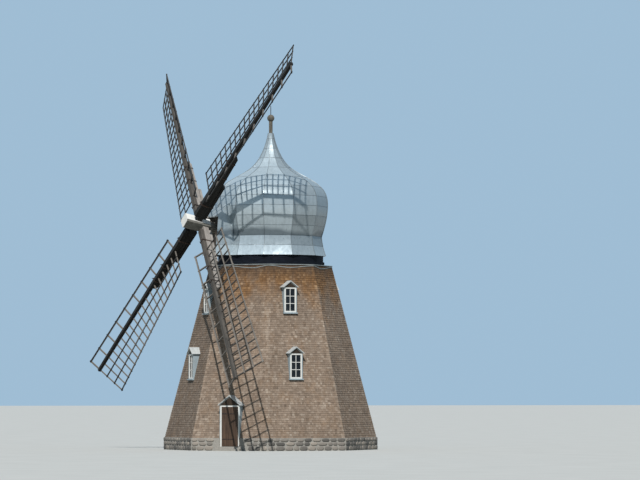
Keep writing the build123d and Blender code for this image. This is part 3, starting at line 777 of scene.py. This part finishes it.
def openings(side):
    """Every window's or door's (half width, foot, eaves, peak of its hood) on one side."""
    sizes = []
    if side in WINDOW_SIDES:
        sizes += [(WINDOW_SIZE, base, SILL_ROOM) for base in WINDOW_SILLS]
    if side in DOOR_SIDES:
        sizes.append((DOOR_SIZE, DOOR_BASE, 0.0))
    found = []
    for (width, height), base, sill in sizes:
        half = width / 2 + CHEEK
        peak = base + height + (half + HOOD_EAVE) * math.tan(HOOD_PITCH)
        found.append((half, base - sill, base + height, peak))
    return found


def blocked(side, height):
    """Half the width that an opening or its hood takes out of a course of shingles."""
    for half, foot, eaves, peak in openings(side):
        if foot - OPENING_MARGIN < height < eaves:
            return half
        if eaves <= height < peak:
            return max(half + HOOD_EAVE - (height - eaves) / math.tan(HOOD_PITCH), 0.0)
    return 0.0


def shingle(piece, frame, left, right, foot, head, lift, squeeze):
    """One split shingle: thick at its butt and tucked under the course above, bleached at a corner."""
    bleached = CORNER_BLEACH if any(squeeze) else 0.0
    shade = min(max(random.gauss(MEAN_SHADE, SHADE_SPREAD) + bleached, 0.0), 1.0)
    skew = random.uniform(-SHINGLE_SKEW, SHINGLE_SKEW)
    points = [
        (left, foot, 0.0),
        (right, foot + skew, 0.0),
        (left, foot, lift),
        (right, foot + skew, lift),
        (left + squeeze[0], head, SHINGLE_TUCK),
        (right - squeeze[1], head, SHINGLE_TUCK),
    ]
    faces = ((2, 3, 5, 4), (0, 1, 3, 2), (0, 2, 4), (1, 5, 3))
    piece.add([frame @ Vector(point) for point in points], faces, shade)


def shingle_side(piece, side):
    """Courses of shingles of random width, trimmed at the corners and round the openings."""
    lean = math.atan(BATTER)
    frame = side_frame(side, apothem(PLINTH_HEIGHT), PLINTH_HEIGHT, lean)
    slope = (WALL_TOP - PLINTH_HEIGHT) / math.cos(lean)
    half_angle = math.tan(SIDE_ANGLE / 2)
    courses = int(slope / COURSE)
    exposure = slope / courses
    overlap = exposure * SHINGLE_OVERLAP
    for row in range(courses):
        foot = row * exposure
        height = PLINTH_HEIGHT + (foot + exposure / 2) * math.cos(lean)
        half = (apothem(PLINTH_HEIGHT + foot * math.cos(lean)) + SHINGLE_BUTT) * half_angle
        narrowing = (exposure + overlap) * math.sin(lean) * half_angle
        gap = blocked(side, height)
        middle = window_shift(side)
        head = min(foot + exposure + overlap, slope)
        runs = ((-half, middle - gap), (middle + gap, half)) if gap else ((-half, half),)
        for start, end in runs:
            left = start
            while left < end - 0.001:
                width = random.uniform(*SHINGLE_WIDTHS)
                right = left + width
                if end - right < SHINGLE_WIDTHS[0]:
                    right = end
                drop = random.uniform(0.0, SHINGLE_DROP)
                lift = SHINGLE_BUTT * random.uniform(0.75, 1.2)
                squeeze = [narrowing if left == -half else 0.0, narrowing if right == half else 0.0]
                butt = foot - drop if row else foot
                shingle(piece, frame, left, right - SHINGLE_GAP, butt, head, lift, squeeze)
                left = right


def build_shingles():
    """All sides' shingles, in two pieces."""
    material = shingle_paint()
    for name, sides in (("shingles_first", range(0, 4)), ("shingles_second", range(4, 8))):
        piece = Piece()
        for side in sides:
            shingle_side(piece, side)
        piece.make(name, material, "tower")


def build_flashing():
    """The turned-down lead edge over the top course, which has sagged unevenly."""
    piece = Piece()
    lean = math.atan(BATTER)
    widening = math.sin(lean) * math.tan(SIDE_ANGLE / 2)
    back, front = FLASHING_BACK, FLASHING_FRONT
    for side in range(SIDES):
        frame = side_frame(side, apothem(WALL_TOP), WALL_TOP, lean)
        half = (apothem(WALL_TOP) + SHINGLE_BUTT) * math.tan(SIDE_ANGLE / 2)
        sag = random.uniform(*FLASHING_SAG)
        peak = random.uniform(*FLASHING_PEAK)
        points = []
        for step in range(FLASHING_STEPS + 1):
            share = step / FLASHING_STEPS
            rise = share / peak if share < peak else (1 - share) / (1 - peak)
            drop = FLASHING_DROP + sag * math.sin(rise * math.pi / 2) ** 2
            foot = drop + FLASHING_HEIGHT
            x = (share * 2 - 1) * (half + drop * widening)
            for down, out in ((drop, back), (drop, front), (foot, front), (foot, back)):
                points.append(frame @ Vector((x, -down, out)))
        last = 4 * FLASHING_STEPS
        faces = [(0, 1, 2, 3), (last + 3, last + 2, last + 1, last)]
        for step in range(FLASHING_STEPS):
            for index in range(4):
                start, other = 4 * step + index, 4 * step + (index + 1) % 4
                faces.append((start, start + 4, other + 4, other))
        piece.add(points, faces)
    piece.make("plate_flashing", lead_paint(), "tower")


def build_window_bars():
    """Glazing bars: two panes wide and three high, with chamfered faces."""
    width, height = WINDOW_SIZE
    face = GLAZING_INSET - FRAME_DEPTH / 2
    half = GLAZING_BAR / 2
    light = height - 2 * FRAME_BAR
    reach = width / 2 - FRAME_BAR
    piece = Piece()
    for side in WINDOW_SIDES:
        for base in WINDOW_SILLS:
            frame = side_frame(side, apothem(base) + FRAME_PROUD, base, 0.0, window_shift(side))
            top = (half, height - FRAME_BAR, face + UPRIGHT_DEPTH)
            block(piece, frame, (-half, FRAME_BAR, face), top, GLAZING_CHAMFER)
            for share in (1 / 3, 2 / 3):
                middle = FRAME_BAR + light * share
                end = (reach, middle + half, face + LEVEL_DEPTH)
                block(piece, frame, (-reach, middle - half, face), end, GLAZING_CHAMFER)
    white = painted("bar_paint", (0.80, 0.81, 0.79), (0.45, 0.43, 0.39), 0.5)
    piece.make("window_bars", white, "tower")


def build_gable_boards():
    """Dark boards in the gable under each window's and door's hood."""
    piece = Piece()
    places = [(side, base, WINDOW_SIZE, 0.0) for side in WINDOW_SIDES for base in WINDOW_SILLS]
    places += [(side, DOOR_BASE, DOOR_SIZE, DOOR_SETBACK) for side in DOOR_SIDES]
    for side, base, (width, height), setback in places:
        out = apothem(base) + FRAME_PROUD - setback
        frame = side_frame(side, out, base + height, 0.0, window_shift(side))
        half = width / 2 - GABLE_MARGIN
        peak = half * math.tan(HOOD_PITCH)
        corners = ((-half, GABLE_FOOT), (half, GABLE_FOOT), (0.0, peak))
        points = [frame @ Vector((x, y, depth)) for depth in (GABLE_BACK, GABLE_PROUD) for x, y in corners]
        faces = ((2, 1, 0), (3, 4, 5), (0, 1, 4, 3), (1, 2, 5, 4), (2, 0, 3, 5))
        piece.add(points, faces)
    boards = wood("gable_paint", (0.020, 0.014, 0.010), (0.060, 0.040, 0.026), 0.85, None, (14, 14, 2))
    piece.make("gable_boards", boards, "tower")


def door_planks(piece, frame, inner, height):
    """Upright planks over one door leaf."""
    for index in range(DOOR_PLANKS):
        left = -inner / 2 + inner * index / DOOR_PLANKS
        right = left + inner / DOOR_PLANKS
        shade = random.uniform(0.2, 0.8)
        low = (left + PLANK_GAP, PLANK_FOOT, PLANK_BACK)
        high = (right - PLANK_GAP, height - FRAME_BAR - 2 * PLANK_GAP, PLANK_FRONT)
        block(piece, frame, low, high, 0.005, shade)


def door_irons(piece, frame, inner, height):
    """Two nailed strap hinges and a round knob on one door leaf."""
    edge = -inner / 2
    for place in (HINGE_FOOT, height - HINGE_HEAD):
        low = (edge + 0.01, place, PLANK_FRONT)
        block(piece, frame, low, (inner / 2 - HINGE_STOP, place + HINGE_WIDTH, HINGE_FRONT), 0.003)
        for step in range(HINGE_NAILS):
            x = edge + NAIL_START + step * NAIL_PITCH
            nail = frame @ Matrix.Translation((x, place + HINGE_WIDTH / 2, 0))
            foot, head = HINGE_FRONT - IRON_SINK, HINGE_FRONT + NAIL_HEIGHT
            prism(piece, nail, NAIL_RADIUS, foot, head, 8, IRON_CHAMFER)
    grip = frame @ Matrix.Translation((inner / 2 - HANDLE_INSET, HANDLE_HEIGHT, 0))
    prism(piece, grip, PLATE_RADIUS, PLANK_FRONT - IRON_SINK, HINGE_FRONT, 16, IRON_CHAMFER)
    prism(piece, grip, KNOB_RADIUS, HINGE_FRONT - IRON_SINK, KNOB_FRONT, 12, 0.006)


def build_door_dress():
    """Planks, hinges and handle on each door."""
    width, height = DOOR_SIZE
    inner = width - 2 * FRAME_BAR
    planks = Piece()
    irons = Piece()
    for side in DOOR_SIDES:
        out = apothem(DOOR_BASE) + FRAME_PROUD - DOOR_SETBACK - PLANK_RECESS
        frame = side_frame(side, out, DOOR_BASE)
        door_planks(planks, frame, inner, height)
        door_irons(irons, frame, inner, height)
    boards = wood("door_planks", (0.05, 0.03, 0.02), (0.12, 0.075, 0.05), 0.7, None, (14, 14, 1.2))
    planks.make("door_planks", boards, "tower")
    irons.make("door_irons", iron_paint(), "tower")


def stone(piece, frame, left, right, foot, head, depth):
    """A fieldstone with a bulging, uneven face."""
    shade = random.random()
    ring = STONE_CORNERS
    width, height = (right - left) / 2, (head - foot) / 2
    middle = Vector(((left + right) / 2, (foot + head) / 2, 0))
    layers = ((1.0, 0.0), (0.97, depth * 0.55), (0.8, depth * 0.92), (0.45, depth))
    points = []
    bumps = [random.uniform(0.86, 1.0) for _ in range(ring)]
    for share, out in layers:
        for index in range(ring):
            angle = 2 * math.pi * (index + 0.5) / ring
            reach = bumps[index] / max(abs(math.cos(angle)), abs(math.sin(angle))) ** 0.75
            x = math.cos(angle) * width * share * reach
            y = math.sin(angle) * height * share * reach
            x = min(max(x, -width), width)
            y = min(max(y, -height), height)
            points.append(frame @ (middle + Vector((x, y, out * random.uniform(0.9, 1.05)))))
    points.append(frame @ (middle + Vector((0, 0, depth * 1.02))))
    faces = []
    for layer in range(len(layers) - 1):
        for index in range(ring):
            other = (index + 1) % ring
            start = layer * ring
            faces.append((start + index, start + other, start + ring + other, start + ring + index))
    last = (len(layers) - 1) * ring
    faces += [(last + index, last + (index + 1) % ring, len(points) - 1) for index in range(ring)]
    piece.add(points, faces, shade)


def build_plinth_stones():
    """Courses of fieldstone on the plinth's faces, broken at the doors."""
    piece = Piece()
    face = apothem(PLINTH_HEIGHT) + PLINTH_PROUD
    half = face * math.tan(SIDE_ANGLE / 2)
    for side in range(SIDES):
        frame = side_frame(side, face, 0.0)
        for course, above in zip(STONE_COURSES, STONE_COURSES[1:]):
            foot, head = course + STONE_GAP, above - STONE_GAP
            left = -half + CORNER_MARGIN
            while left < half - 2 * CORNER_MARGIN:
                right = left + random.uniform(*STONE_WIDTHS)
                if half - right < STONE_WIDTHS[0]:
                    right = half - CORNER_MARGIN
                in_door = side in DOOR_SIDES and left < DOOR_GAP_HALF and right > -DOOR_GAP_HALF
                if not in_door:
                    stone(piece, frame, left + STONE_GAP, right - STONE_GAP, foot, head, STONE_DEPTH)
                left = right
    piece.make("plinth_stones", stone_paint(), "tower", True)


# Cap dressing

def cap_tree():
    """The gores' surfaces, to lay seams on."""
    points, faces = [], []
    for name in sorted(frame["nodes"]):
        if not name.startswith("cap_") or name == "cap_ring":
            continue
        mesh = frame["nodes"][name].data
        start = len(points)
        points += [vertex.co.copy() for vertex in mesh.vertices]
        faces += [[start + index for index in polygon.vertices] for polygon in mesh.polygons]
    return BVHTree.FromPolygons(points, faces)


def cap_radius(tree, azimuth, height):
    """Distance from the axis to the sheet, or None where the hood has cut it away."""
    out = direction(azimuth, 0.0)
    start = out * CAP_REACH + Vector((0, 0, height))
    hit = tree.ray_cast(start, -out)
    if hit[0] is None:
        return None
    return Vector((hit[0].x, hit[0].y)).length


def hood_covers(point):
    """Whether a point of the cap lies under the hood round the windshaft."""
    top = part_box("hood_roof")[1][2] + HOOD_MARGIN
    return abs(point.x) < HOOD_HALF and point.y < HOOD_BACK and point.z < top


def sweep(piece, path, outs, sides, width, proud):
    """A seam along a path: a low ridge with sloping sides."""
    points = []
    for point, out, side in zip(path, outs, sides):
        for across, lift in SEAM_PROFILE:
            points.append(point + side * across * width + out * lift * proud)
    faces = []
    for step in range(len(path) - 1):
        for index in range(3):
            start = step * 4 + index
            faces.append((start, start + 1, start + 5, start + 4))
    last = (len(path) - 1) * 4
    faces += [(3, 2, 1, 0), (last, last + 1, last + 2, last + 3)]
    piece.add(points, faces)


def build_ridges(tree):
    """Standing seams where two gores meet; one that the hood covers starts above it."""
    piece = Piece()
    rise = CAP_TIP - CAP_BASE - 2 * RIDGE_END_GAP
    for number in range(GORES):
        azimuth = GORE_TURN + number * GORE_ANGLE
        out = direction(azimuth, 0.0)
        along = Vector((math.cos(azimuth), math.sin(azimuth), 0))
        path = []
        for step in range(RIDGE_STEPS + 1):
            height = CAP_BASE + RIDGE_END_GAP + rise * step / RIDGE_STEPS
            radius = cap_radius(tree, azimuth + RIDGE_SLIP, height)
            point = None if radius is None else out * radius + Vector((0, 0, height))
            if point is None or hood_covers(point):
                path = []
                continue
            path.append(point)
        if len(path) < 3:
            continue
        outs = []
        for index in range(len(path)):
            before, after = path[max(index - 1, 0)], path[min(index + 1, len(path) - 1)]
            outs.append((after - before).cross(along).normalized() * -1)
        sweep(piece, path, outs, [along] * len(path), RIDGE_WIDTH, RIDGE_PROUD)
    piece.make("cap_ridges", sheet_paint("ridge_sheet", (0.35, 0.41, 0.45)), "cap")


def seam_path(azimuth, height, ends):
    """Points of a level seam from one ridge to the next."""
    first = direction(azimuth, 0.0) * ends[0] + Vector((0, 0, height))
    last = direction(azimuth + GORE_ANGLE, 0.0) * ends[1] + Vector((0, 0, height))
    return [first.lerp(last, step / SEAM_STEPS) for step in range(SEAM_STEPS + 1)]


def clear_runs(path):
    """The stretches of a path that the hood doesn't cover."""
    runs = [[]]
    for point in path:
        if hood_covers(point):
            runs.append([])
        else:
            runs[-1].append(point)
    return [run for run in runs if len(run) > 1]


def build_lock_seams(tree):
    """Level lock seams across each gore, one panel apart."""
    piece = Piece()
    rows = int((CAP_TIP - CAP_BASE) / SEAM_PITCH)
    for row in range(1, rows + 1):
        height = CAP_BASE + row * SEAM_PITCH
        for number in range(GORES):
            azimuth = GORE_TURN + number * GORE_ANGLE
            middle = azimuth + GORE_ANGLE / 2
            along = Vector((math.cos(middle), math.sin(middle), 0))
            slips = (SEAM_SLIP, GORE_ANGLE - SEAM_SLIP)
            ends = [cap_radius(tree, azimuth + slip, height) for slip in slips]
            if None in ends:
                continue
            above = cap_radius(tree, middle, height + SLOPE_STEP)
            below = cap_radius(tree, middle, height - SLOPE_STEP)
            if above is None or below is None:
                continue
            rise = (direction(middle, 0.0) * (above - below) + Vector((0, 0, 2 * SLOPE_STEP))).normalized()
            out = along.cross(rise)
            for run in clear_runs(seam_path(azimuth, height, ends)):
                sweep(piece, run, [out] * len(run), [rise] * len(run), SEAM_HEIGHT, SEAM_PROUD)
    piece.make("cap_seams", sheet_paint("seam_sheet", (0.30, 0.35, 0.39)), "cap")


# Sail dressing

def build_bolts():
    """Bolts with nuts, standing out in front of the iron straps."""
    piece = Piece()
    for number in range(len(SAIL_NAMES)):
        frame = arm_frame(number)
        for place in STRAP_PLACES:
            for across in (-BOLT_SPREAD, BOLT_SPREAD):
                hole = frame @ Matrix.Translation((place, across, STOCK_SIZE / 2))
                prism(piece, hole, NUT_RADIUS, BOLT_FOOT, NUT_TOP, 6, 0.005)
                prism(piece, hole, BOLT_RADIUS, BOLT_FOOT, BOLT_TOP, 8, 0.003)
    piece.make("strap_bolts", iron_paint(), "sails")


# Materials of the frame's own nodes

def paint_nodes():
    """A material for every solid of the part."""
    sheet = sheet_paint("cap_sheet", (0.525, 0.62, 0.68))
    boards = wall_board_paint()
    mortar = mortar_paint()
    white = painted("white_paint", (0.80, 0.81, 0.79), (0.42, 0.40, 0.36), 0.5)
    trim = painted("trim_paint", (0.34, 0.42, 0.47), (0.22, 0.22, 0.20), 0.55)
    hood = painted("hood_paint", (0.52, 0.55, 0.56), (0.28, 0.27, 0.25), 0.55)
    front, back, along = arm_frame(0), arm_frame(1), (0.9, 22, 22)
    inside_boards = wood("floor_boards", (0.16, 0.12, 0.08), (0.30, 0.23, 0.16), 0.8, None, (1.5, 22, 22))
    door_core = wood("door_core", (0.03, 0.02, 0.014), (0.07, 0.05, 0.035), 0.8, None, (14, 14, 1.2))
    soot, gleam = (0.004, 0.005, 0.008), (0.012, 0.016, 0.026)
    tar = wood("tarred_boards", soot, gleam, 0.75, None, (3, 3, 20), 0.8, 0.1)
    beams = wood("beams", (0.05, 0.043, 0.036), (0.12, 0.10, 0.085), 0.8, None, (22, 1.4, 22))
    grey_beam = wood("weathered_shaft", (0.17, 0.16, 0.14), (0.36, 0.34, 0.31), 0.8, None, (22, 1.2, 22))
    pitch, worn = (0.010, 0.010, 0.010), (0.045, 0.043, 0.041)
    black = wood("tarred_timber", pitch, worn, 0.7, front, along, 0.55, 0.15)
    pale = wood("grey_timber", (0.20, 0.185, 0.17), (0.44, 0.41, 0.385), 0.82, back, along, 0.7)
    brown = wood("whip_timber", (0.045, 0.040, 0.036), (0.13, 0.118, 0.105), 0.82, back, along, 0.7)
    finial = wood("finial_wood", (0.065, 0.060, 0.050), (0.22, 0.20, 0.165), 0.75, None, (20, 20, 2))
    chosen = {
        "window_walls": boards,
        "door_and_plain_walls": boards,
        "plinth_under_windows": mortar,
        "plinth_beside_windows": mortar,
        "ground_floor": mortar,
        "first_floor": inside_boards,
        "second_floor": inside_boards,
        "window_and_door_frames": white,
        "window_glass": glass_paint(),
        "window_sills": trim,
        "window_and_door_cheeks": trim,
        "window_and_door_hoods": hood,
        "door_leaves": door_core,
        "top_plate": lead_paint(),
        "curb": tar,
        "cap_ring": tar,
        "hood_front": beams,
        "breast_beam": beams,
        "sheer_beams": beams,
        "tail_beam": beams,
        "finial_post": finial,
        "finial_ball": finial,
        "finial_rod": iron_paint(),
        "windshaft": grey_beam,
        "poll_end": poll_paint(),
        "stock_front": black,
        "stock_clamps_front": black,
        "whips_front": black,
        "stock_back": pale,
        "stock_clamps_back": pale,
        "whips_back": brown,
        "stock_straps": iron_paint(),
    }
    dark, dim = (0.022, 0.021, 0.020), (0.055, 0.050, 0.046)
    mild, light = (0.13, 0.118, 0.107), (0.21, 0.19, 0.17)
    tones = ((dark, dim, mild), (light, dim, mild), (dark, light, light), (dim, dim, dark))
    for number, name in enumerate(SAIL_NAMES):
        chosen[f"lattice_{name}"] = lattice_paint(number, *tones[number])
    for name in sorted(frame["nodes"]):
        node = frame["nodes"][name]
        node.data.materials.clear()
        node.data.materials.append(chosen.get(name, sheet))


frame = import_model()
paint_nodes()
build_shingles()
build_flashing()
build_window_bars()
build_gable_boards()
build_door_dress()
build_plinth_stones()
sheets = cap_tree()
build_ridges(sheets)
build_lock_seams(sheets)
build_bolts()
build_camera()
build_lights()
build_floor()
